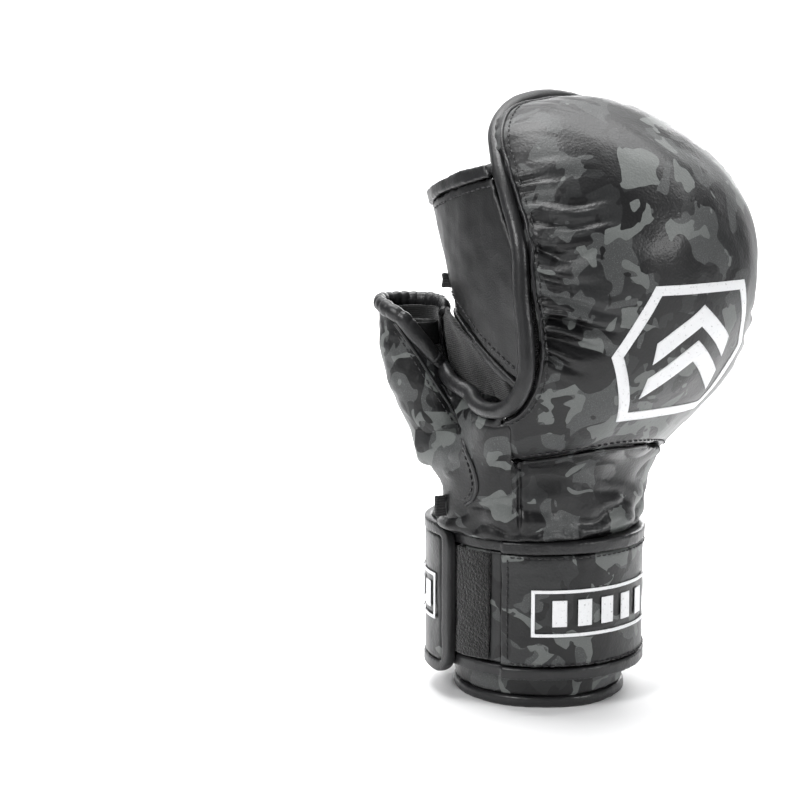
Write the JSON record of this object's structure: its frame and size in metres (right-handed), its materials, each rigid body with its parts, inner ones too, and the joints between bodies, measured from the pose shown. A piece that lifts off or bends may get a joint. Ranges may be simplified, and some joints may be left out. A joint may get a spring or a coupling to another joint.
{
  "type": "mma glove",
  "caption": "Right-hand padded MMA sparring glove with a hooded back, open palm, finger sleeve, separate thumb and hook-and-loop wrist strap.",
  "frame": {"origin": "on the wrist's axis, at the lower rim of the cuff", "axes": "+Z from the wrist to the fingertips, -Y out of the back of the hand, +Y out of the palm, -X to the thumb's side"},
  "size_m": [0.1461, 0.1411, 0.2684],
  "materials": {
    "camo_skin": "satin",
    "black_skin": "satin",
    "black_binding": "satin",
    "lining_fabric": "matte",
    "foam": "matte",
    "elastic_web": "matte",
    "loop_fabric": "matte",
    "hook_fabric": "matte",
    "white_print": "satin"
  },
  "bodies": {
    "cuff": {"cuff_sleeve": "camo_skin", "cuff_padding": "foam", "cuff_lining": "lining_fabric", "slit_gusset": "elastic_web", "cuff_rim_binding": "black_binding", "wrist_band": "camo_skin", "band_padding": "foam", "loop_base": "camo_skin", "band_bottom_binding": "black_binding", "band_top_binding": "black_binding", "loop_patch": "loop_fabric", "strap_anchor": "camo_skin", "band_label": "white_print"},
    "strap": {"strap_band": "camo_skin", "strap_core": "foam", "strap_bindings": "black_binding"},
    "strap_tab": {"tab_panel": "camo_skin", "tab_binding": "black_binding", "hook_patch": "hook_fabric", "tab_label": "white_print"},
    "hand": {"hood_skin": "camo_skin", "hood_foam_outer": "foam", "hood_foam_middle": "foam", "hood_foam_inner": "foam", "hood_lining": "lining_fabric", "hood_piping": "black_binding", "hood_emblem": "white_print", "fingertip_flap": "lining_fabric", "gauntlet_back_panel": "camo_skin", "gauntlet_thumb_panel": "camo_skin", "gauntlet_little_panel": "camo_skin", "palm_heel_panel": "camo_skin", "gauntlet_padding": "foam", "hand_lining": "lining_fabric", "palm_edge_binding": "black_binding", "thumb_root_panel": "camo_skin", "thumb_root_padding": "foam", "pull_tab": "elastic_web"},
    "thumb": {"thumb_outer_panel": "camo_skin", "thumb_inner_panel": "black_skin", "thumb_padding": "foam", "thumb_lining": "lining_fabric", "thumb_rim_binding": "black_binding", "thumb_edge_piping": "black_binding", "thumb_loop": "black_skin"},
    "finger_sleeve": {"finger_panel": "black_skin", "finger_lining": "lining_fabric", "finger_rim_binding": "black_binding", "finger_foot_binding": "black_binding", "finger_loops": "black_skin", "side_tab": "elastic_web"}
  },
  "joints": [
    {"name": "wrist_flex", "type": "hinge", "parent": "cuff", "child": "hand", "pos_m": [0, 0, 0.08], "axis": [-1, 0, 0], "range_deg": [-8, 8], "stiffness_Nm_per_rad": 6},
    {"name": "finger_flex", "type": "hinge", "parent": "hand", "child": "finger_sleeve", "pos_m": [0, 0, 0.16], "axis": [-1, 0, 0], "range_deg": [0, 9], "stiffness_Nm_per_rad": 1.5},
    {"name": "thumb_swing", "type": "hinge", "parent": "hand", "child": "thumb", "pos_m": [-0.036, 0.016, 0.112], "axis": [-0.7071, -0.7071, 0], "range_deg": [0, 16], "stiffness_Nm_per_rad": 0.6},
    {"name": "strap_swing", "type": "hinge", "parent": "cuff", "child": "strap", "pos_m": [0.0461, 0.0065, 0.0455], "axis": [0, 0, -1], "range_deg": [0, 70]},
    {"name": "tab_peel", "type": "hinge", "parent": "strap", "child": "strap_tab", "pos_m": [-0.0054, 0.0515, 0.0455], "axis": [0, 0, -1], "range_deg": [0, 75]}
  ]
}
